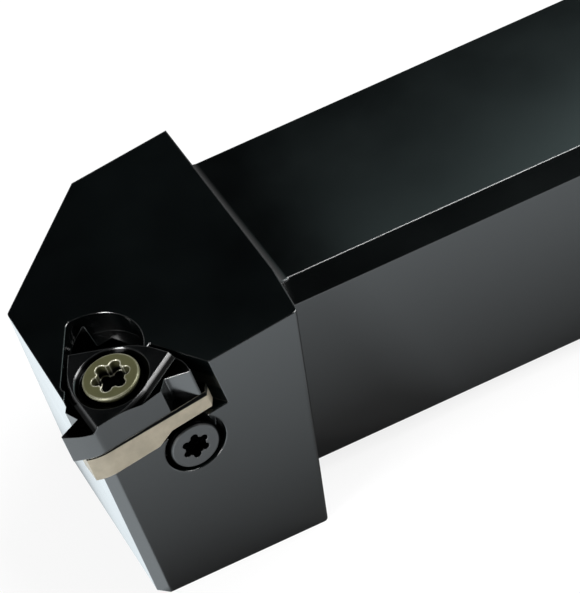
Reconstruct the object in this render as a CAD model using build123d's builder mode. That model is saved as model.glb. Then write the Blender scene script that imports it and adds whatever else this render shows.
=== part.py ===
"""External right-hand thread-turning holder with its indexable insert.

The holder is one steel body: a square shank and an offset head with a tilted pocket.
A shim lies on the pocket's floor, and a three-tipped insert lies on the shim.
A countersunk screw clamps insert and shim to the body, and a second screw stands in a
counterbore in the head's side, under the shim's rear edge.

+X points from the shank to the nose, +Y to the cutting side and +Z up.
The origin lies on the shank's bottom face, midway across it, under the head's shoulder.
All sizes are in millimetres and degrees.
"""

from build123d import *
import os
from math import cos, hypot, radians, sin, tan

os.makedirs("parts", exist_ok=True)

# ---------------------------------------------------------------- shank
shank_height = 25.0
shank_width = 25.0
shank_chamfer = 2.0
shank_end_chamfer = 1.0
overall_length = 150.0

# ---------------------------------------------------------------- head
shoulder_to_nose = 27.0
head_rise = 3.6
head_top_fall = 7.2
head_top_lean = 1.1
far_side_length = 11.0
far_bevel_angle = 42.0
front_reach = 24.75
front_relief = 9.0
front_skew = 2.5
nose_facet = 1.1
shoulder_skew = 4.8
shoulder_lean = 2.6
root_radius = 1.9
root_spread = 1.3
corner_radius = 0.6
shank_lap = 6.0

# ---------------------------------------------------------------- insert
insert_circle = 9.525
insert_thickness = 3.7
insert_corner = 60.0
insert_offset = 32.0
insert_proud = 0.4
seat_tilt = 10.0
seat_lean = 1.1
tip_forward = 7.5
tip_inset = 1.36
thread_angle = 60.0
thread_depth = 2.4
tip_flat = 0.2
flank_radius = 4.5
land_angle = 22.0
groove_depth = 0.6
wall_top = 4.0
wall_slope = 47.0
island_radius = 9.0

# ---------------------------------------------------------------- shim
shim_thickness = 3.35
shim_front = 6.4
shim_rear = 8.6
shim_far = 8.6
shim_step = 1.05
shim_step_width = 3.6
shim_step_slope = 30.0
shim_step_start = -0.7

# ---------------------------------------------------------------- pocket
wall_clearance = 0.1
rear_wall_gap = 0.7
rear_contact_end = 1.0
pocket_corner_radius = 0.6
access_radius = 5.35
access_centre = (0.0, -4.7)
access_side_gap = 0.6
access_corner_radius = 1.0
access_depth = 3.3

# ---------------------------------------------------------------- insert screw
clamp_head_diameter = 6.0
clamp_head_rise = 0.33
clamp_head_rim = 0.33
clamp_head_chamfer = 0.12
clamp_thread_diameter = 3.5
clamp_length = 13.0
clamp_recess_diameter = 4.1
clamp_recess_depth = 1.6
clamp_recess_turn = -13.0
cone_angle = 60.0
dish_diameter = 8.0
dish_depth = 0.45
insert_hole_clearance = 0.25
shim_hole_clearance = 0.35

# ---------------------------------------------------------------- shim screw
side_head_diameter = 5.7
side_head_height = 2.2
side_thread_diameter = 3.0
side_length = 8.0
side_recess_diameter = 3.1
side_recess_depth = 1.4
side_recess_turn = 30.0
side_screw_back = 13.1
side_screw_drop = 3.15
counterbore_clearance = 0.55
counterbore_rise = 0.5
side_head_sink = 0.15
side_head_chamfer = 0.35

# ---------------------------------------------------------------- shared
seat_clearance = 0.03
thread_clearance = 0.03
blind_end = 1.0
screw_end_chamfer = 0.5
recess_core_share = 0.37
recess_lobe_share = 0.14
tolerance = 0.01

# ---------------------------------------------------------------- datum places
far_y = -shank_width / 2
shank_side_y = shank_width / 2
near_y = far_y + insert_offset - insert_proud
cutting_height = shank_height
shank_end_x = shoulder_to_nose - overall_length
reach = 2 * insert_offset

# the insert's own plane: its origin is the insert's centre, level with the three tips
fall = radians(seat_tilt)
lean = radians(seat_lean)
side_distance = insert_circle / 2
tip_side = side_distance - tip_inset
centre_x = shoulder_to_nose - tip_forward * cos(fall) + tip_side * sin(lean) * sin(fall)
centre_y = far_y + insert_offset - side_distance * cos(lean)
centre_z = cutting_height + tip_forward * sin(fall) + tip_side * sin(lean) * cos(fall)
cutting_plane = Plane(
    origin=(centre_x, centre_y, centre_z),
    x_dir=(cos(fall), 0, -sin(fall)),
    z_dir=(sin(fall) * cos(lean), sin(lean), cos(fall) * cos(lean)),
)
shim_plane = cutting_plane.offset(-insert_thickness)
floor_plane = shim_plane.offset(-shim_thickness)


def turned(point, angle):
    """Turn a point of the cutting plane about the insert's centre by an angle in degrees."""
    x, y = point
    turn = radians(angle)
    return (x * cos(turn) - y * sin(turn), x * sin(turn) + y * cos(turn))


def upright(plane):
    """Give the plane that stands on the given one, with its own x and the other's z as y."""
    return Plane(origin=plane.origin, x_dir=plane.x_dir, z_dir=-plane.y_dir)


def corners_like(sketch, point):
    """Choose the sketch's corners that lie as far from its origin as the given point."""
    away = hypot(*point)
    return sketch.vertices().filter_by(lambda corner: abs(corner.center().length - away) < tolerance)


def six_lobes(diameter, turn):
    """Draw the outline of a six-lobed driver recess in the open sketch."""
    lobe = recess_lobe_share * diameter
    Circle(recess_core_share * diameter)
    with PolarLocations(diameter / 2 - lobe, 6, start_angle=turn):
        Circle(lobe)


# ---------------------------------------------------------------- insert outline
corner_angle = radians(insert_corner / 2)
half_thread = radians(thread_angle / 2)
tip_near = (tip_forward, tip_side + tip_flat / 2)
tip_far = (tip_forward, tip_side - tip_flat / 2)
near_base = (tip_forward - (side_distance - tip_near[1]) / tan(half_thread), side_distance)
far_base = (tip_forward - thread_depth, tip_far[1] - thread_depth * tan(half_thread))
# the land runs back from the thread's far base until it meets the insert's next side
land = radians(land_angle)
land_run = side_distance - far_base[0] * cos(corner_angle) + far_base[1] * sin(corner_angle)
land_length = land_run / sin(land + corner_angle)
land_end = (far_base[0] + land_length * sin(land), far_base[1] - land_length * cos(land))
tooth = [near_base, tip_near, tip_far, far_base, land_end]
insert_points = [turned(point, -120 * lobe) for lobe in range(3) for point in tooth]

# the raised island has a wall in front of each tip and ends on the insert's three sides
wall_foot = wall_top + groove_depth * tan(radians(wall_slope))
rake_slope = groove_depth / (tip_forward - wall_foot)
groove_back = wall_top - 2 * groove_depth
island_end = ((side_distance * cos(corner_angle) - wall_top) / sin(corner_angle), side_distance)
island_start = (wall_top, side_distance)
island_starts = [turned(island_start, 120 * lobe) for lobe in range(3)]
island_ends = [turned(island_end, 120 * lobe) for lobe in range(3)]
island_points = [point for pair in zip(island_starts, island_ends) for point in pair]

# ---------------------------------------------------------------- shim outline
shim_front_near = (
    shim_front,
    side_distance - (shim_front - near_base[0]) * tan(half_thread),
)
shim_front_far = (
    shim_front,
    (shim_front * cos(corner_angle) - side_distance) / sin(corner_angle),
)
shim_points = [shim_front_far, shim_front_near, near_base]
for corner, distance in ((150, shim_rear), (270, shim_far)):
    half_width = (insert_circle - distance) * tan(corner_angle)
    shim_points.append(turned((distance, -half_width), corner))
    shim_points.append(turned((distance, half_width), corner))
step_slope_run = shim_step / tan(radians(shim_step_slope))

# ---------------------------------------------------------------- pocket outline
pocket_corner = (0, -insert_circle - 2 * wall_clearance)
pocket_points = [
    pocket_corner,
    turned((-reach / 2, side_distance + wall_clearance), 240),
    turned((reach / 2, side_distance + rear_wall_gap), 120),
    turned((rear_contact_end, side_distance + rear_wall_gap), 120),
    turned((rear_contact_end, side_distance + wall_clearance), 120),
]

# ---------------------------------------------------------------- faces of the head
head_top = Plane(
    origin=(0, shank_side_y, shank_height + head_rise),
    z_dir=(tan(radians(head_top_fall)), tan(radians(head_top_lean)), 1),
)
front_face = Plane(
    origin=(front_reach, centre_y, cutting_height),
    z_dir=(1, -tan(radians(front_skew)), -tan(radians(front_relief))),
)
shoulder_face = Plane(
    origin=(0, shank_side_y - shank_chamfer, shank_height),
    z_dir=(-1, tan(radians(shoulder_skew)), -tan(radians(shoulder_lean))),
)
bevel = radians(far_bevel_angle)

# ---------------------------------------------------------------- screw holes
clamp_axis = Axis(cutting_plane.origin, cutting_plane.z_dir)
cone_slope = tan(radians(cone_angle / 2))
clamp_cone_height = (clamp_head_diameter - clamp_thread_diameter) / 2 / cone_slope
insert_hole_radius = clamp_thread_diameter / 2 + insert_hole_clearance
# the screw's cone seats on the insert's, seat_clearance apart measured square to the cone
seat_offset = seat_clearance / cos(radians(cone_angle / 2))
seat_top = clamp_head_rim - clamp_head_rise
seat_radius_at_dish = clamp_head_diameter / 2 + seat_offset - (dish_depth - seat_top) * cone_slope
insert_seat_depth = seat_top + (
    clamp_head_diameter / 2 + seat_offset - insert_hole_radius
) / cone_slope
clamp_hole_radius = clamp_thread_diameter / 2 + thread_clearance
side_hole_radius = side_thread_diameter / 2 + thread_clearance
side_x = shoulder_to_nose - side_screw_back
side_floor_z = floor_plane.origin.Z + (floor_plane.origin.X - side_x) * tan(fall)
side_plane = Plane(
    origin=(side_x, near_y, side_floor_z - side_screw_drop),
    x_dir=(-1, 0, 0),
    z_dir=(0, 1, 0),
)
counterbore_depth = side_head_sink + side_head_height
side_head_plane = side_plane.offset(-side_head_sink)
side_seat_plane = side_plane.offset(-counterbore_depth)

with BuildPart() as holder_body:
    # head: its plan, then its sloping top, undercut front and leaning shoulder
    with BuildSketch() as head_plan:
        with BuildLine():
            Polyline(
                (0, far_y),
                (far_side_length, far_y),
                (far_side_length + (near_y - far_y) / tan(bevel), near_y),
                (0, near_y),
                close=True,
            )
        make_face()
    extrude(amount=reach)
    split(bisect_by=head_top, keep=Keep.BOTTOM)
    split(bisect_by=front_face, keep=Keep.BOTTOM)
    split(bisect_by=shoulder_face, keep=Keep.BOTTOM)

    # facet between the front face and the cutting side, and two rounded upright corners
    front_edges = holder_body.faces().sort_by(Axis.X)[-1].edges().sort_by(Axis.Y)
    side_edges = holder_body.faces().filter_by(Plane.XZ).sort_by(Axis.Y)[-1].edges()
    fillet([front_edges[0], side_edges.sort_by(Axis.X)[0]], corner_radius)
    side_edges = holder_body.faces().filter_by(Plane.XZ).sort_by(Axis.Y)[-1].edges()
    chamfer(side_edges.sort_by(Axis.X)[-1], nose_facet)

    # shank, run a little way into the head
    with BuildSketch(Plane.YZ.offset(shank_end_x)) as shank_section:
        with Locations((0, shank_height / 2)):
            Rectangle(shank_width, shank_height)
        chamfer(shank_section.vertices(), shank_chamfer)
    extrude(amount=shank_lap - shank_end_x)
    end_face = holder_body.faces().sort_by(Axis.X)[0]
    chamfer(end_face.edges(), shank_end_chamfer)

    # rounded root where the shank runs into the shoulder, over its top and cutting side
    root_edges = holder_body.edges().filter_by(
        lambda edge: edge.bounding_box().size.X < root_spread
        and -tolerance < edge.center().X < root_spread
        and (edge @ 0).X < root_spread
        and max((edge @ 0).Z, (edge @ 1).Z) > shank_chamfer + tolerance
        and -tolerance < shank_height - edge.center().Z
        and abs(edge.center().Y) < shank_side_y + tolerance
        and edge.center().Y > far_y + tolerance
    )
    fillet(root_edges, root_radius)

    # pocket for insert and shim, open to the front and to the cutting side
    with BuildSketch(floor_plane) as pocket_plan:
        with BuildLine():
            Polyline(*pocket_points, close=True)
        make_face()
        fillet(corners_like(pocket_plan, pocket_corner), pocket_corner_radius)
    extrude(amount=reach, mode=Mode.SUBTRACT)

    # recess round the insert's inner tip, cut off straight beside the insert's far side
    access_side = side_distance + access_side_gap
    with BuildSketch(cutting_plane.offset(-access_depth)) as access_plan:
        with Locations(access_centre):
            Circle(access_radius)
        with Locations(turned((0, access_side - reach / 2), 240)):
            Rectangle(reach, reach, rotation=240, mode=Mode.INTERSECT)
        fillet(access_plan.vertices(), access_corner_radius)
    extrude(amount=reach, mode=Mode.SUBTRACT)

    # threaded hole under the insert
    with Locations(floor_plane):
        Hole(
            radius=clamp_hole_radius,
            depth=clamp_length + blind_end - insert_thickness - shim_thickness,
        )

    # counterbore in the cutting side, a little higher than the threaded hole in its floor
    with BuildSketch(side_seat_plane) as counterbore_plan:
        with Locations((0, counterbore_rise)):
            Circle(side_head_diameter / 2 + counterbore_clearance)
    extrude(amount=reach, mode=Mode.SUBTRACT)
    with Locations(side_seat_plane):
        Hole(radius=side_hole_radius, depth=side_length + blind_end)

holder_body.part.label = "holder_body"
export_step(holder_body.part, "parts/holder_body.step")

# ---------------------------------------------------------------- threading insert
with BuildSketch(shim_plane) as insert_plan:
    with BuildLine():
        Polyline(*insert_points, close=True)
    make_face()
    fillet(corners_like(insert_plan, near_base), flank_radius)

with BuildPart() as threading_insert:
    extrude(insert_plan.sketch, amount=insert_thickness)

    # a sloping rake face behind each tip
    for lobe in range(3):
        lobe_plane = Plane(
            origin=cutting_plane.origin,
            x_dir=cutting_plane.x_dir.rotate(clamp_axis, 120 * lobe),
            z_dir=cutting_plane.z_dir,
        )
        with BuildSketch(upright(lobe_plane)) as rake_profile:
            with BuildLine():
                Polyline(
                    (groove_back, insert_thickness),
                    (groove_back, -rake_slope * (tip_forward - groove_back)),
                    (tip_forward + thread_depth, rake_slope * thread_depth),
                    (tip_forward + thread_depth, insert_thickness),
                    close=True,
                )
            make_face()
        extrude(amount=insert_circle, both=True, mode=Mode.SUBTRACT)

    # the raised island with its sloping walls, trimmed to the insert's sides
    with BuildSketch(cutting_plane) as island_plan:
        with BuildLine():
            Polyline(*island_points, close=True)
        make_face()
        fillet(corners_like(island_plan, island_end), island_radius)
    extrude(amount=-2 * groove_depth, taper=-wall_slope)
    extrude(insert_plan.sketch, amount=insert_thickness, mode=Mode.INTERSECT)

    # countersunk hole for the clamping screw, with a shallow dish round it
    with BuildSketch(upright(cutting_plane)) as hole_profile:
        with BuildLine():
            Polyline(
                (0, 0),
                (dish_diameter / 2, 0),
                (dish_diameter / 2 - dish_depth, -dish_depth),
                (seat_radius_at_dish, -dish_depth),
                (insert_hole_radius, -insert_seat_depth),
                (insert_hole_radius, -insert_thickness),
                (0, -insert_thickness),
                close=True,
            )
        make_face()
    revolve(axis=clamp_axis, mode=Mode.SUBTRACT)

threading_insert.part.label = "threading_insert"
export_step(threading_insert.part, "parts/threading_insert.step")

# ---------------------------------------------------------------- shim
with BuildPart() as shim:
    with BuildSketch(floor_plane) as shim_plan:
        with BuildLine():
            Polyline(*shim_points, close=True)
        make_face()
        fillet(corners_like(shim_plan, near_base), flank_radius)
    extrude(amount=shim_thickness)
    with Locations(shim_plane):
        Hole(radius=clamp_thread_diameter / 2 + shim_hole_clearance)

    # step under the rear of the cutting side, clear of the screw below it
    with BuildSketch(upright(floor_plane).offset(shim_step_width - side_distance)) as step_profile:
        with BuildLine():
            Polyline(
                (shim_step_start, 0),
                (shim_step_start - step_slope_run, shim_step),
                (-reach, shim_step),
                (-reach, 0),
                close=True,
            )
        make_face()
    extrude(amount=-reach, mode=Mode.SUBTRACT)

shim.part.label = "shim"
export_step(shim.part, "parts/shim.step")

# ---------------------------------------------------------------- insert screw
clamp_rim_radius = clamp_head_diameter / 2
clamp_radius = clamp_thread_diameter / 2
with BuildPart() as insert_screw:
    with BuildSketch(upright(cutting_plane)) as screw_profile:
        with BuildLine():
            Polyline(
                (0, clamp_head_rise),
                (clamp_rim_radius - clamp_head_chamfer, clamp_head_rise),
                (clamp_rim_radius, clamp_head_rise - clamp_head_chamfer),
                (clamp_rim_radius, -seat_top),
                (clamp_radius, -seat_top - clamp_cone_height),
                (clamp_radius, screw_end_chamfer - clamp_length),
                (clamp_radius - screw_end_chamfer, -clamp_length),
                (0, -clamp_length),
                close=True,
            )
        make_face()
    revolve(axis=clamp_axis)
    with BuildSketch(cutting_plane.offset(clamp_head_rise)) as clamp_recess_plan:
        six_lobes(clamp_recess_diameter, clamp_recess_turn)
    extrude(amount=-clamp_recess_depth, mode=Mode.SUBTRACT)

insert_screw.part.label = "insert_screw"
export_step(insert_screw.part, "parts/insert_screw.step")

# ---------------------------------------------------------------- shim screw
with BuildPart() as shim_screw:
    with BuildSketch(side_seat_plane) as side_head_plan:
        Circle(side_head_diameter / 2)
    extrude(amount=side_head_height)
    chamfer(shim_screw.edges().sort_by(Axis.Y)[-1], side_head_chamfer)
    with BuildSketch(side_seat_plane) as side_thread_plan:
        Circle(side_thread_diameter / 2)
    extrude(amount=-side_length)
    chamfer(shim_screw.edges().sort_by(Axis.Y)[0], screw_end_chamfer)
    with BuildSketch(side_head_plane) as side_recess_plan:
        six_lobes(side_recess_diameter, side_recess_turn)
    extrude(amount=-side_recess_depth, mode=Mode.SUBTRACT)

shim_screw.part.label = "shim_screw"
export_step(shim_screw.part, "parts/shim_screw.step")
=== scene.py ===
"""Looks of an external thread-turning holder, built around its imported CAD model.

All lengths are in metres, in the model's own frame: +X towards the cutting tip, +Y towards
the cutting side, +Z up from the shank's bottom face.
"""

import logging
from dataclasses import dataclass, field
from enum import Enum
from math import cos, radians, sin

import bpy
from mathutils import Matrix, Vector

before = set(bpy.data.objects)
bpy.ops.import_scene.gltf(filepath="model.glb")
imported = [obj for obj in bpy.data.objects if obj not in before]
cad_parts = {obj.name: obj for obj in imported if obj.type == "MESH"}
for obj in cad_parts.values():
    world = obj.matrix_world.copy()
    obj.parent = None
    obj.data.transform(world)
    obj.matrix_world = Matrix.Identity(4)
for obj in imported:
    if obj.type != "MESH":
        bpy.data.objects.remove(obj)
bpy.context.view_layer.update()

LOG = logging.getLogger("holder")

Colour = tuple[float, float, float, float]
Triple = tuple[float, float, float]
Span = tuple[float, float]

SEAT_FALL = radians(10.0)
SEAT_LEAN = radians(1.1)
SEAT_FACING: Triple = (
    sin(SEAT_FALL) * cos(SEAT_LEAN),
    sin(SEAT_LEAN),
    cos(SEAT_FALL) * cos(SEAT_LEAN),
)
SEAT_FORWARD: Triple = (cos(SEAT_FALL), 0.0, -sin(SEAT_FALL))
INSERT_CENTRE: Triple = (0.019625, 0.014738, 0.026367)
FLOAT = "NodeSocketFloat"
VECTOR = "NodeSocketVector"
COLUMN_STEP = 180
MIX_FIRST, MIX_SECOND, MIX_RESULT = 6, 7, 2
LEVEL_FIRST, LEVEL_SECOND = 2, 3


class Grain(Enum):
    """The kinds of fine relief."""

    GROUND = "ground lines"
    SPECKLED = "sintered speckle"


def grey(level: float) -> Colour:
    """Return an opaque neutral colour of that linear level."""
    return (level, level, level, 1.0)


def opaque(tone: Triple) -> Colour:
    """Return that tone as an opaque colour."""
    return (*tone, 1.0)


class NodeTree:
    """A thin builder over a Blender node tree, which places and links nodes by name."""

    def __init__(self, tree: bpy.types.NodeTree) -> None:
        """Wrap the tree and empty it.

        Args:
            tree: The node tree to fill.
        """
        self.tree = tree
        self.tree.nodes.clear()
        self.column = 0

    def add(self, kind: str, **settings: object) -> bpy.types.Node:
        """Add one node.

        Args:
            kind: The node's Blender type name.
            settings: Attributes to set on the node.

        Returns:
            The new node.
        """
        node = self.tree.nodes.new(kind)
        node.location = (COLUMN_STEP * self.column, 0)
        self.column += 1
        for name, value in settings.items():
            setattr(node, name, value)
        return node

    def link(self, source: bpy.types.NodeSocket, target: bpy.types.NodeSocket) -> None:
        """Link an output socket to an input socket."""
        self.tree.links.new(source, target)

    def feed(self, target: bpy.types.NodeSocket, value: object) -> None:
        """Link or set an input socket.

        Args:
            target: The input socket.
            value: An output socket to link, or a constant to store.
        """
        if isinstance(value, bpy.types.NodeSocket):
            self.link(value, target)
        else:
            target.default_value = value

    def math(
        self, operation: str, first: object, second: object = 0.0, clamp: bool = False
    ) -> bpy.types.NodeSocket:
        """Add a Math node.

        Args:
            operation: The node's operation.
            first: Its first input, a socket or a number.
            second: Its second input, a socket or a number.
            clamp: Whether the result is held between 0 and 1.

        Returns:
            The node's output socket.
        """
        node = self.add("ShaderNodeMath", operation=operation, use_clamp=clamp)
        self.feed(node.inputs[0], first)
        self.feed(node.inputs[1], second)
        return node.outputs[0]

    def ramp(
        self, value: object, low: float, high: float, start: float, end: float
    ) -> bpy.types.NodeSocket:
        """Add a Map Range node that carries one range onto another, held at its ends.

        Args:
            value: The value to carry over.
            low: The value that gives start.
            high: The value that gives end.
            start: The result at low.
            end: The result at high.

        Returns:
            The node's output socket.
        """
        node = self.add("ShaderNodeMapRange", clamp=True)
        self.feed(node.inputs["Value"], value)
        node.inputs["From Min"].default_value = low
        node.inputs["From Max"].default_value = high
        node.inputs["To Min"].default_value = start
        node.inputs["To Max"].default_value = end
        return node.outputs["Result"]

    def place(self, group: bpy.types.NodeTree, **values: object) -> bpy.types.Node:
        """Place a shared effect.

        Args:
            group: The effect's node group.
            values: A value or an output socket for each named input.

        Returns:
            The group node.
        """
        node = self.add("ShaderNodeGroup", node_tree=group)
        for name, value in values.items():
            self.feed(node.inputs[name.replace("_", " ").title()], value)
        return node

    def mix(self, factor: object, first: object, second: object) -> bpy.types.NodeSocket:
        """Add a colour Mix node.

        Args:
            factor: How much of the second colour shows.
            first: The colour at factor 0.
            second: The colour at factor 1.

        Returns:
            The node's colour output.
        """
        node = self.add("ShaderNodeMix", data_type="RGBA")
        self.feed(node.inputs["Factor"], factor)
        self.feed(node.inputs[MIX_FIRST], first)
        self.feed(node.inputs[MIX_SECOND], second)
        return node.outputs[MIX_RESULT]

    def object_place(self) -> bpy.types.NodeSocket:
        """Return the place on the object, in its own frame."""
        return self.add("ShaderNodeTexCoord").outputs["Object"]

    def split(self, vector: bpy.types.NodeSocket) -> bpy.types.NodeOutputs:
        """Return the X, Y and Z outputs of a vector."""
        node = self.add("ShaderNodeSeparateXYZ")
        self.link(vector, node.inputs[0])
        return node.outputs


class Effects:
    """The node groups that several finishes share."""

    edge_samples = 6
    patch_detail = 3.0
    patch_span: Span = (0.42, 0.62)
    patch_least = 0.25
    line_detail = 4.0
    cloud_detail = 5.0
    cloud_roughness = 0.55
    cloud_span: Span = (0.3, 0.7)
    pore_span: Span = (0.05, 0.3)

    def __init__(self) -> None:
        """Build every group once."""
        self.edge_line = self.build_edge_line()
        self.ground_lines = self.build_ground_lines()
        self.clouding = self.build_clouding()
        self.speckle = self.build_speckle()
        self.painted_depth_shade = self.build_depth_shade()

    @staticmethod
    def start(
        name: str, inputs: dict[str, str], outputs: dict[str, str]
    ) -> tuple[bpy.types.NodeTree, NodeTree, bpy.types.Node, bpy.types.Node]:
        """Start a node group with its sockets.

        Args:
            name: The group's name.
            inputs: Socket type by input name.
            outputs: Socket type by output name.

        Returns:
            The group, its builder, its input node and its output node.
        """
        group = bpy.data.node_groups.new(name, "ShaderNodeTree")
        for way, sockets in (("INPUT", inputs), ("OUTPUT", outputs)):
            for label, kind in sockets.items():
                group.interface.new_socket(name=label, in_out=way, socket_type=kind)
        nodes = NodeTree(group)
        return group, nodes, nodes.add("NodeGroupInput"), nodes.add("NodeGroupOutput")

    def build_edge_line(self) -> bpy.types.NodeTree:
        """Build the edge mask, for wear and painted glint: 1 along sharp edges, broken up, else
        0.

        Returns:
            The node group.
        """
        group, nodes, given, result = self.start(
            "edge_line",
            {"Radius": FLOAT, "Gain": FLOAT, "Patch Scale": FLOAT},
            {"Mask": FLOAT},
        )
        bevel = nodes.add("ShaderNodeBevel", samples=self.edge_samples)
        nodes.link(given.outputs["Radius"], bevel.inputs["Radius"])
        true_normal = nodes.add("ShaderNodeNewGeometry")
        agree = nodes.add("ShaderNodeVectorMath", operation="DOT_PRODUCT")
        nodes.link(bevel.outputs[0], agree.inputs[0])
        nodes.link(true_normal.outputs["Normal"], agree.inputs[1])
        bend = nodes.math("SUBTRACT", 1.0, agree.outputs["Value"])
        place = nodes.object_place()
        noise = nodes.add("ShaderNodeTexNoise")
        nodes.link(place, noise.inputs["Vector"])
        nodes.link(given.outputs["Patch Scale"], noise.inputs["Scale"])
        noise.inputs["Detail"].default_value = self.patch_detail
        patch = nodes.ramp(noise.outputs[0], *self.patch_span, self.patch_least, 1.0)
        strong = nodes.math("MULTIPLY", bend, given.outputs["Gain"])
        nodes.link(nodes.math("MULTIPLY", strong, patch, clamp=True), result.inputs["Mask"])
        return group

    def build_ground_lines(self) -> bpy.types.NodeTree:
        """Build the height of fine grinding lines that run along one axis.

        Returns:
            The node group.
        """
        group, nodes, given, result = self.start(
            "ground_lines", {"Stretch": VECTOR}, {"Height": FLOAT}
        )
        place = nodes.object_place()
        scaled = nodes.add("ShaderNodeVectorMath", operation="MULTIPLY")
        nodes.link(place, scaled.inputs[0])
        nodes.link(given.outputs["Stretch"], scaled.inputs[1])
        noise = nodes.add("ShaderNodeTexNoise")
        nodes.link(scaled.outputs[0], noise.inputs["Vector"])
        noise.inputs["Scale"].default_value = 1.0
        noise.inputs["Detail"].default_value = self.line_detail
        nodes.link(noise.outputs[0], result.inputs["Height"])
        return group

    def build_depth_shade(self) -> bpy.types.NodeTree:
        """Build a painted-shade mask that grows with depth below a plane, 0 at start to 1 at end.

        Returns:
            The node group.
        """
        group, nodes, given, result = self.start(
            "painted_depth_shade",
            {
                "Facing": VECTOR,
                "Level": FLOAT,
                "Start": FLOAT,
                "End": FLOAT,
                "Least Facing": FLOAT,
                "Most Facing": FLOAT,
            },
            {"Mask": FLOAT},
        )
        place = nodes.object_place()
        height = nodes.add("ShaderNodeVectorMath", operation="DOT_PRODUCT")
        nodes.link(place, height.inputs[0])
        nodes.link(given.outputs["Facing"], height.inputs[1])
        depth = nodes.math("SUBTRACT", given.outputs["Level"], height.outputs["Value"])
        rise = nodes.add("ShaderNodeMapRange", clamp=True)
        nodes.link(depth, rise.inputs["Value"])
        nodes.link(given.outputs["Start"], rise.inputs["From Min"])
        nodes.link(given.outputs["End"], rise.inputs["From Max"])
        normal = nodes.add("ShaderNodeNewGeometry")
        agree = nodes.add("ShaderNodeVectorMath", operation="DOT_PRODUCT")
        nodes.link(normal.outputs["Normal"], agree.inputs[0])
        nodes.link(given.outputs["Facing"], agree.inputs[1])
        turned = nodes.math("GREATER_THAN", agree.outputs["Value"], given.outputs["Least Facing"])
        within = nodes.math("LESS_THAN", agree.outputs["Value"], given.outputs["Most Facing"])
        mask = nodes.math("MULTIPLY", rise.outputs["Result"], turned)
        mask = nodes.math("MULTIPLY", mask, within)
        nodes.link(mask, result.inputs["Mask"])
        return group

    def build_clouding(self) -> bpy.types.NodeTree:
        """Build soft uneven patches, from 0 to 1.

        Returns:
            The node group.
        """
        group, nodes, given, result = self.start("clouding", {"Scale": FLOAT}, {"Value": FLOAT})
        place = nodes.object_place()
        noise = nodes.add("ShaderNodeTexNoise")
        nodes.link(place, noise.inputs["Vector"])
        nodes.link(given.outputs["Scale"], noise.inputs["Scale"])
        noise.inputs["Detail"].default_value = self.cloud_detail
        noise.inputs["Roughness"].default_value = self.cloud_roughness
        clouds = nodes.ramp(noise.outputs[0], *self.cloud_span, 0.0, 1.0)
        nodes.link(clouds, result.inputs["Value"])
        return group

    def build_speckle(self) -> bpy.types.NodeTree:
        """Build the grain of pressed and sintered powder: a height and a mask of darker pores.

        Returns:
            The node group.
        """
        group, nodes, given, result = self.start(
            "speckle", {"Scale": FLOAT}, {"Height": FLOAT, "Pores": FLOAT}
        )
        place = nodes.object_place()
        grain = nodes.add("ShaderNodeTexVoronoi")
        nodes.link(place, grain.inputs["Vector"])
        nodes.link(given.outputs["Scale"], grain.inputs["Scale"])
        nodes.link(grain.outputs["Distance"], result.inputs["Height"])
        pores = nodes.ramp(grain.outputs["Distance"], *self.pore_span, 1.0, 0.0)
        nodes.link(pores, result.inputs["Pores"])
        return group


@dataclass(frozen=True)
class PaintedShade:
    """Painted shade, where a finish goes dark and dull by depth below a plane over the insert's
    seat.

    The plane lies at a height over the cutting plane, in line with the insert's centre, and
    may slope along the insert. Only faces that look up from the seat by least_facing to
    most_facing count.
    """

    height: float
    start: float
    end: float
    slope: float = 0.0
    least_facing: float = -1.0
    most_facing: float = 2.0
    # The painted shade's colour.
    tone: Triple = (0.002, 0.002, 0.002)
    facing: Triple | None = None

    def plane(self) -> tuple[Triple, float]:
        """Work out the plane.

        Returns:
            The way it faces, and its distance from the origin along that way.
        """
        if self.facing is not None:
            return self.facing, self.height
        facing = Vector(SEAT_FACING) - self.slope * Vector(SEAT_FORWARD)
        foot = Vector(INSERT_CENTRE) + self.height * Vector(SEAT_FACING)
        facing.normalize()
        return tuple(facing), facing.dot(foot)


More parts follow.
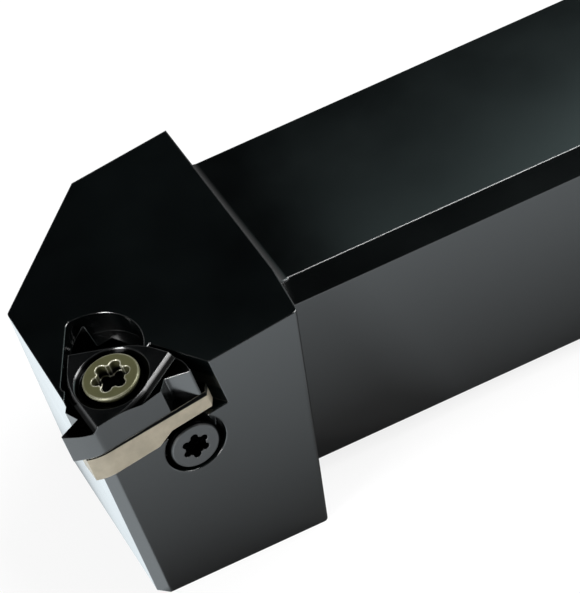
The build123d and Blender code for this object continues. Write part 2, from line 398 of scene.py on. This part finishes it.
@dataclass(frozen=True)
class Finish:
    """Metal or ceramic finish: two tones, edge wear and painted glint, uneven gloss, fine relief.
    """

    name: str
    tone: Triple
    second_tone: Triple
    # Edge colour: partly worn metal, partly a painted highlight where edges catch light.
    edge_wear_and_glint_tone: Triple
    metallic: float = 0.0
    ior: float = 1.5
    gloss_low: float = 0.15
    gloss_high: float = 0.25
    edge_radius: float = 0.0002
    edge_gain: float = 0.0
    edge_samples: int = 8
    patch_scale: float = 300.0
    cloud_scale: float = 60.0
    grain: Grain = Grain.GROUND
    grain_stretch: Triple = (60.0, 4000.0, 4000.0)
    grain_scale: float = 6000.0
    grain_strength: float = 0.05
    grain_depth: float = 0.00001
    pore_share: float = 0.0
    # Painted shade, by depth below a plane over the insert's seat.
    painted_shades: tuple[PaintedShade, ...] = ()

    def build(self, effects: Effects) -> bpy.types.Material:
        """Make the material.

        Args:
            effects: The shared node groups.

        Returns:
            The material.
        """
        material = bpy.data.materials.new(self.name)
        material.use_nodes = True
        nodes = NodeTree(material.node_tree)
        shader = nodes.add("ShaderNodeBsdfPrincipled")
        shader.inputs["Metallic"].default_value = self.metallic
        shader.inputs["IOR"].default_value = self.ior
        clouds = nodes.place(effects.clouding, scale=self.cloud_scale).outputs["Value"]
        colour = nodes.mix(clouds, opaque(self.tone), opaque(self.second_tone))
        rough = nodes.ramp(clouds, 0.0, 1.0, self.gloss_low, self.gloss_high)
        colour, height = self.add_grain(nodes, effects, colour)
        colour = self.add_shades(nodes, effects, shader, colour)
        # Lightens the edges: partly wear, partly a painted highlight.
        edge_wear_and_glint = nodes.place(
            effects.edge_line,
            radius=self.edge_radius,
            gain=self.edge_gain,
            patch_scale=self.patch_scale,
        ).outputs["Mask"]
        colour = nodes.mix(edge_wear_and_glint, colour, opaque(self.edge_wear_and_glint_tone))
        nodes.link(colour, shader.inputs["Base Color"])
        nodes.link(rough, shader.inputs["Roughness"])
        nodes.link(self.add_relief(nodes, height), shader.inputs["Normal"])
        output = nodes.add("ShaderNodeOutputMaterial")
        nodes.link(shader.outputs[0], output.inputs["Surface"])
        return material

    def add_grain(
        self, nodes: NodeTree, effects: Effects, colour: bpy.types.NodeSocket
    ) -> tuple[bpy.types.NodeSocket, bpy.types.NodeSocket]:
        """Add the fine grain, and its pores where the finish is speckled.

        Args:
            nodes: The material's builder.
            effects: The shared node groups.
            colour: The colour so far.

        Returns:
            The colour and the grain's height.
        """
        if self.grain is Grain.GROUND:
            lines = nodes.place(effects.ground_lines, stretch=self.grain_stretch)
            return colour, lines.outputs["Height"]
        speckle = nodes.place(effects.speckle, scale=self.grain_scale)
        pores = nodes.math("MULTIPLY", speckle.outputs["Pores"], self.pore_share)
        return nodes.mix(pores, colour, opaque(self.second_tone)), speckle.outputs["Height"]

    def add_shades(
        self,
        nodes: NodeTree,
        effects: Effects,
        shader: bpy.types.Node,
        colour: bpy.types.NodeSocket,
    ) -> bpy.types.NodeSocket:
        """Add painted shade: dark, dull places, made metallic so that they mirror nothing.

        Args:
            nodes: The material's builder.
            effects: The shared node groups.
            shader: The material's shader.
            colour: The colour so far.

        Returns:
            The colour.
        """
        metal: object = self.metallic
        for shade in self.painted_shades:
            facing, level = shade.plane()
            painted_shade_mask = nodes.place(
                effects.painted_depth_shade,
                facing=facing,
                level=level,
                start=shade.start,
                end=shade.end,
                least_facing=shade.least_facing,
                most_facing=shade.most_facing,
            ).outputs["Mask"]
            colour = nodes.mix(painted_shade_mask, colour, opaque(shade.tone))
            metal = nodes.math("MAXIMUM", metal, painted_shade_mask)
        if self.painted_shades:
            nodes.link(metal, shader.inputs["Metallic"])
        return colour

    def add_relief(
        self, nodes: NodeTree, height: bpy.types.NodeSocket
    ) -> bpy.types.NodeSocket:
        """Add softened edges with the grain's relief on them.

        Args:
            nodes: The material's builder.
            height: The grain's height.

        Returns:
            The normal.
        """
        soft_edges = nodes.add("ShaderNodeBevel", samples=self.edge_samples)
        soft_edges.inputs["Radius"].default_value = self.edge_radius
        bump = nodes.add("ShaderNodeBump")
        bump.inputs["Strength"].default_value = self.grain_strength
        bump.inputs["Distance"].default_value = self.grain_depth
        nodes.link(height, bump.inputs["Height"])
        nodes.link(soft_edges.outputs[0], bump.inputs["Normal"])
        return bump.outputs[0]


def dress(node: str, material: bpy.types.Material) -> None:
    """Give a CAD node its material.

    Args:
        node: The node's name.
        material: The material for the whole node.
    """
    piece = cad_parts[node]
    piece.data.materials.clear()
    piece.data.materials.append(material)
    LOG.info("%s: %s, %d faces", node, material.name, len(piece.data.polygons))


@dataclass
class Holder:
    """The steel holder: its body and the screw in its side."""

    body_finish: Finish = Finish(
        name="blacked_steel",
        tone=(0.0005, 0.0008, 0.0009),
        second_tone=(0.0015, 0.0026, 0.0027),
        edge_wear_and_glint_tone=(0.02, 0.021, 0.021),
        ior=1.9,
        gloss_low=0.14,
        gloss_high=0.2,
        edge_radius=0.00025,
        edge_gain=2.0,
    )
    screw_finish: Finish = Finish(
        name="grey_phosphated_steel",
        tone=(0.012, 0.013, 0.014),
        second_tone=(0.018, 0.019, 0.02),
        edge_wear_and_glint_tone=(0.09, 0.09, 0.09),
        ior=1.9,
        gloss_low=0.25,
        gloss_high=0.35,
        edge_radius=0.00012,
        edge_gain=2.0,
        grain=Grain.SPECKLED,
        # Painted shade in the screw's socket, below its near face.
        painted_shades=(PaintedShade(0.01895, 0.00003, 0.0002, facing=(0.0, 1.0, 0.0)),),
    )

    def dress(self, effects: Effects) -> None:
        """Dress body and side screw."""
        dress("holder_body", self.body_finish.build(effects))
        dress("shim_screw", self.screw_finish.build(effects))


@dataclass
class CuttingSet:
    """What the holder clamps: the threading insert, its shim and its screw."""

    insert_finish: Finish = Finish(
        name="coated_carbide",
        tone=(0.001, 0.0012, 0.0013),
        second_tone=(0.002, 0.0022, 0.0024),
        edge_wear_and_glint_tone=(0.12, 0.13, 0.13),
        ior=1.85,
        gloss_low=0.16,
        gloss_high=0.22,
        edge_radius=0.00018,
        edge_gain=1.5,
        cloud_scale=400.0,
        grain=Grain.SPECKLED,
        grain_scale=9000.0,
        # Painted shade below the cutting plane on up-facing faces, the screw's dish and the
        # island walls.
        painted_shades=(
            PaintedShade(0.0, 0.00003, 0.00015, least_facing=0.75),
            PaintedShade(0.0, 0.00003, 0.00015, least_facing=0.69, most_facing=0.72),
            PaintedShade(0.0, 0.0001, 0.0003, least_facing=0.72, most_facing=0.75),
        ),
    )
    shim_finish: Finish = Finish(
        name="ground_carbide",
        tone=(0.31, 0.272, 0.203),
        second_tone=(0.24, 0.213, 0.158),
        edge_wear_and_glint_tone=(0.75, 0.69, 0.56),
        ior=1.5,
        gloss_low=0.4,
        gloss_high=0.5,
        edge_radius=0.00012,
        edge_gain=2.5,
        cloud_scale=700.0,
        grain=Grain.SPECKLED,
        grain_scale=8000.0,
        pore_share=0.4,
        # A painted dark strip atop the shim's near face, standing in for a shaded gap under the
        # insert; the faces are flush.
        painted_shades=(PaintedShade(-0.0041, 0.00004, -0.00004, slope=0.03),),
    )
    screw_finish: Finish = Finish(
        name="yellow_passivated_steel",
        tone=(0.112, 0.112, 0.053),
        second_tone=(0.088, 0.087, 0.04),
        edge_wear_and_glint_tone=(0.9, 0.88, 0.72),
        metallic=0.5,
        gloss_low=0.3,
        gloss_high=0.4,
        edge_radius=0.0003,
        edge_gain=5.0,
        cloud_scale=500.0,
        # Painted shade in the screw's socket.
        painted_shades=(PaintedShade(0.00033, 0.0006, 0.0012),),
    )

    def dress(self, effects: Effects) -> None:
        """Dress insert, shim and clamping screw."""
        dress("threading_insert", self.insert_finish.build(effects))
        dress("shim", self.shim_finish.build(effects))
        dress("insert_screw", self.screw_finish.build(effects))


@dataclass(frozen=True)
class CameraRig:
    """The camera, fixed by where it stands and how it turns."""

    place: Triple = (0.18624646, 0.57725416, 0.55933741)
    turn_degrees: Triple = (47.430043, 8.761865, 153.681867)
    lens_mm: float = 496.5517
    sensor_mm: float = 36.0
    near_clip: float = 0.05
    far_clip: float = 20.0

    def build(self) -> bpy.types.Object:
        """Make the camera and set it as the scene's own.

        Returns:
            The camera object.
        """
        data = bpy.data.cameras.new("camera")
        data.sensor_fit = "HORIZONTAL"
        data.sensor_width = self.sensor_mm
        data.lens = self.lens_mm
        data.clip_start = self.near_clip
        data.clip_end = self.far_clip
        camera = bpy.data.objects.new("camera", data)
        camera.location = self.place
        camera.rotation_euler = [radians(angle) for angle in self.turn_degrees]
        bpy.context.collection.objects.link(camera)
        bpy.context.scene.camera = camera
        return camera


@dataclass(frozen=True)
class Fade:
    """Where a lamp's glow runs from dim to full, in the object's frame."""

    dim_y: float
    full_y: float
    dim_x: float
    full_x: float
    least: float = 0.2
    fall: float = 2.5

    def apply(self, data: bpy.types.Light) -> None:
        """Grade a lamp's face.

        Args:
            data: The lamp's data.
        """
        data.use_nodes = True
        data.node_tree.nodes.clear()
        nodes = NodeTree(data.node_tree)
        place = nodes.split(nodes.add("ShaderNodeNewGeometry").outputs["Position"])
        across = nodes.ramp(place["Y"], self.dim_y, self.full_y, 0.0, 1.0)
        along = nodes.ramp(place["X"], self.full_x, self.dim_x, 1.0, self.least)
        level = nodes.math("MULTIPLY", nodes.math("POWER", across, self.fall), along)
        glow = nodes.add("ShaderNodeEmission")
        nodes.link(level, glow.inputs["Strength"])
        output = nodes.add("ShaderNodeOutputLight")
        nodes.link(glow.outputs[0], output.inputs["Surface"])


@dataclass(frozen=True)
class SoftLamp:
    """One square area lamp that looks at the holder's head."""

    name: str
    place: Triple
    width: float
    power: float
    colour: Triple = (1.0, 1.0, 1.0)
    target: Triple = (0.0, 0.0, 0.012)
    fade: Fade | None = None

    def build(self) -> bpy.types.Object:
        """Make the lamp.

        Returns:
            The lamp object.
        """
        data = bpy.data.lights.new(self.name, "AREA")
        data.shape = "SQUARE"
        data.size = self.width
        data.energy = self.power
        data.color = self.colour
        if self.fade:
            self.fade.apply(data)
        lamp = bpy.data.objects.new(self.name, data)
        lamp.location = self.place
        aim = Vector(self.target) - Vector(self.place)
        lamp.rotation_euler = aim.to_track_quat("-Z", "Y").to_euler()
        lamp.visible_camera = False
        bpy.context.collection.objects.link(lamp)
        return lamp


@dataclass
class Studio:
    """The pale floor, the world's light and the lamps.

    To the camera, floor and world are plain white. Mirrored rays see a floor with a painted
    shadow at the holder's foot that opens away from it, painted light brightest ahead of its
    nose, and a world that is dim but for its low part and its far back part.
    """

    floor_half: float = 6.0
    floor_tone: float = 0.8
    fill_level: float = 0.45
    floor_glow: float = 0.85
    side_foot: float = 0.0125
    nose_foot: float = 0.0195
    head_start: float = -0.012
    head_step: float = 0.006
    nose_open: float = 30.0
    # The floor's painted shadow at the foot and painted light beyond, as mirrored rays see them.
    foot_shade: float = 0.036
    foot_level: float = 0.0
    open_level: float = 1.1
    front_gain: float = 1.5
    near_reach: float = 0.12
    far_reach: float = 0.6
    far_level: float = 0.45
    mirror_tint: Colour = (0.86, 0.95, 1.0, 1.0)
    back_span: Span = (-0.75, -0.3)
    back_level: float = 0.6
    far_span: Span = (-0.6, -0.3)
    low_span: Span = (0.05, 0.35)
    low_level: float = 0.6
    lamps: list[SoftLamp] = field(
        default_factory=lambda: [
            SoftLamp("lamp_above", (-0.38, -0.08, 0.93), 0.35, 6.0),
            SoftLamp("lamp_near", (1.0, 0.42, 0.55), 0.35, 12.0),
            SoftLamp("lamp_rib", (-0.48, 0.177, 0.484), 0.25, 2.0),
            SoftLamp(
                "glow_back",
                (-0.1, -0.06, 0.1),
                0.13,
                0.084,
                colour=(0.75, 1.0, 1.0),
                target=(-0.1, -0.06, 0.0),
                fade=Fade(dim_y=-0.098, full_y=-0.066, dim_x=-0.05, full_x=-0.11),
            ),
        ]
    )

    def build(self) -> None:
        """Make floor, world and lamps."""
        self.build_floor()
        self.build_world()
        for lamp in self.lamps:
            lamp.build()

    def build_floor(self) -> None:
        """Make the floor, a large pale plane that keeps the holder's shadow."""
        half = self.floor_half
        mesh = bpy.data.meshes.new("floor")
        corners = [(-half, -half, 0), (half, -half, 0), (half, half, 0), (-half, half, 0)]
        mesh.from_pydata(corners, [], [(0, 1, 2, 3)])
        floor = bpy.data.objects.new("floor", mesh)
        bpy.context.collection.objects.link(floor)
        mesh.materials.append(self.build_floor_material())

    def build_floor_material(self) -> bpy.types.Material:
        """Make the floor's material.

        Returns:
            The material.
        """
        material = bpy.data.materials.new("pale_floor")
        material.use_nodes = True
        nodes = NodeTree(material.node_tree)
        path = nodes.add("ShaderNodeLightPath")
        mirrored = nodes.math(
            "MAXIMUM", path.outputs["Is Glossy Ray"], path.outputs["Is Transmission Ray"]
        )
        seen = nodes.math("MAXIMUM", path.outputs["Is Camera Ray"], mirrored)
        share = nodes.math("MULTIPLY", seen, self.floor_glow)
        level = nodes.add("ShaderNodeMix", data_type="FLOAT")
        nodes.link(mirrored, level.inputs[0])
        level.inputs[LEVEL_FIRST].default_value = 1.0
        nodes.link(self.mirrored_level(nodes), level.inputs[LEVEL_SECOND])
        diffuse = nodes.add("ShaderNodeBsdfDiffuse")
        diffuse.inputs["Color"].default_value = grey(self.floor_tone)
        glow = nodes.add("ShaderNodeEmission")
        tint = nodes.mix(mirrored, grey(1.0), self.mirror_tint)
        nodes.link(tint, glow.inputs["Color"])
        nodes.link(level.outputs[0], glow.inputs["Strength"])
        blend = nodes.add("ShaderNodeMixShader")
        nodes.link(share, blend.inputs[0])
        nodes.link(diffuse.outputs[0], blend.inputs[1])
        nodes.link(glow.outputs[0], blend.inputs[2])
        output = nodes.add("ShaderNodeOutputMaterial")
        nodes.link(blend.outputs[0], output.inputs["Surface"])
        return material

    def mirrored_level(self, nodes: NodeTree) -> bpy.types.NodeSocket:
        """Add the floor's level as mirrored rays see it: a painted shadow and painted light.

        Args:
            nodes: The floor material's builder.

        Returns:
            The level.
        """
        place = nodes.object_place()
        split = nodes.split(place)
        step = nodes.ramp(
            split["X"],
            self.head_start - self.head_step,
            self.head_start,
            0.0,
            self.head_step,
        )
        beside = nodes.math("SUBTRACT", split["Y"], self.side_foot)
        beside = nodes.math("SUBTRACT", beside, step)
        ahead = nodes.math("SUBTRACT", split["X"], self.nose_foot)
        ahead = nodes.math("MULTIPLY", ahead, self.nose_open)
        behind = nodes.math("SUBTRACT", -self.side_foot, split["Y"])
        clear = nodes.math("MAXIMUM", nodes.math("MAXIMUM", beside, ahead), behind)
        # Painted shadow at the holder's foot, rising to the open floor's glow.
        level = nodes.ramp(clear, 0.0, self.foot_shade, self.foot_level, self.open_level)
        away = nodes.add("ShaderNodeVectorMath", operation="LENGTH")
        nodes.link(place, away.inputs[0])
        fade = nodes.ramp(
            away.outputs["Value"], self.near_reach, self.far_reach, 1.0, self.far_level
        )
        level = nodes.math("MULTIPLY", level, fade)
        # Painted light, brighter ahead of the nose.
        gain = nodes.ramp(ahead, 0.0, self.foot_shade, 1.0, self.front_gain)
        return nodes.math("MULTIPLY", level, gain)

    def build_world(self) -> None:
        """Make the world: soft grey light, and white where the camera looks past the floor."""
        world = bpy.data.worlds.new("studio")
        world.use_nodes = True
        bpy.context.scene.world = world
        nodes = NodeTree(world.node_tree)
        path = nodes.add("ShaderNodeLightPath")
        towards = nodes.split(nodes.add("ShaderNodeTexCoord").outputs["Generated"])
        back = nodes.ramp(towards["X"], *self.back_span, self.back_level, 0.0)
        far = nodes.ramp(towards["Y"], *self.far_span, 1.0, 0.0)
        back = nodes.math("MULTIPLY", back, far)
        low = nodes.ramp(towards["Z"], *self.low_span, self.low_level, 0.0)
        dim = nodes.math("MAXIMUM", back, low)
        level = nodes.add("ShaderNodeMix", data_type="FLOAT")
        nodes.link(path.outputs["Is Glossy Ray"], level.inputs[0])
        level.inputs[LEVEL_FIRST].default_value = self.fill_level
        nodes.link(dim, level.inputs[LEVEL_SECOND])
        light = nodes.add("ShaderNodeBackground")
        light.inputs["Color"].default_value = grey(1.0)
        nodes.link(level.outputs[0], light.inputs["Strength"])
        white = nodes.add("ShaderNodeBackground")
        white.inputs["Color"].default_value = grey(1.0)
        blend = nodes.add("ShaderNodeMixShader")
        nodes.link(path.outputs["Is Camera Ray"], blend.inputs[0])
        nodes.link(light.outputs[0], blend.inputs[1])
        nodes.link(white.outputs[0], blend.inputs[2])
        output = nodes.add("ShaderNodeOutputWorld")
        nodes.link(blend.outputs[0], output.inputs["Surface"])


def plain_view() -> None:
    """Show colours as they are written, with no film look."""
    bpy.context.scene.view_settings.view_transform = "Standard"


def main() -> None:
    """Build camera, studio and finishes in order."""
    logging.basicConfig(level=logging.INFO)
    plain_view()
    CameraRig().build()
    Studio().build()
    effects = Effects()
    Holder().dress(effects)
    CuttingSet().dress(effects)


if __name__ == "__main__":
    main()
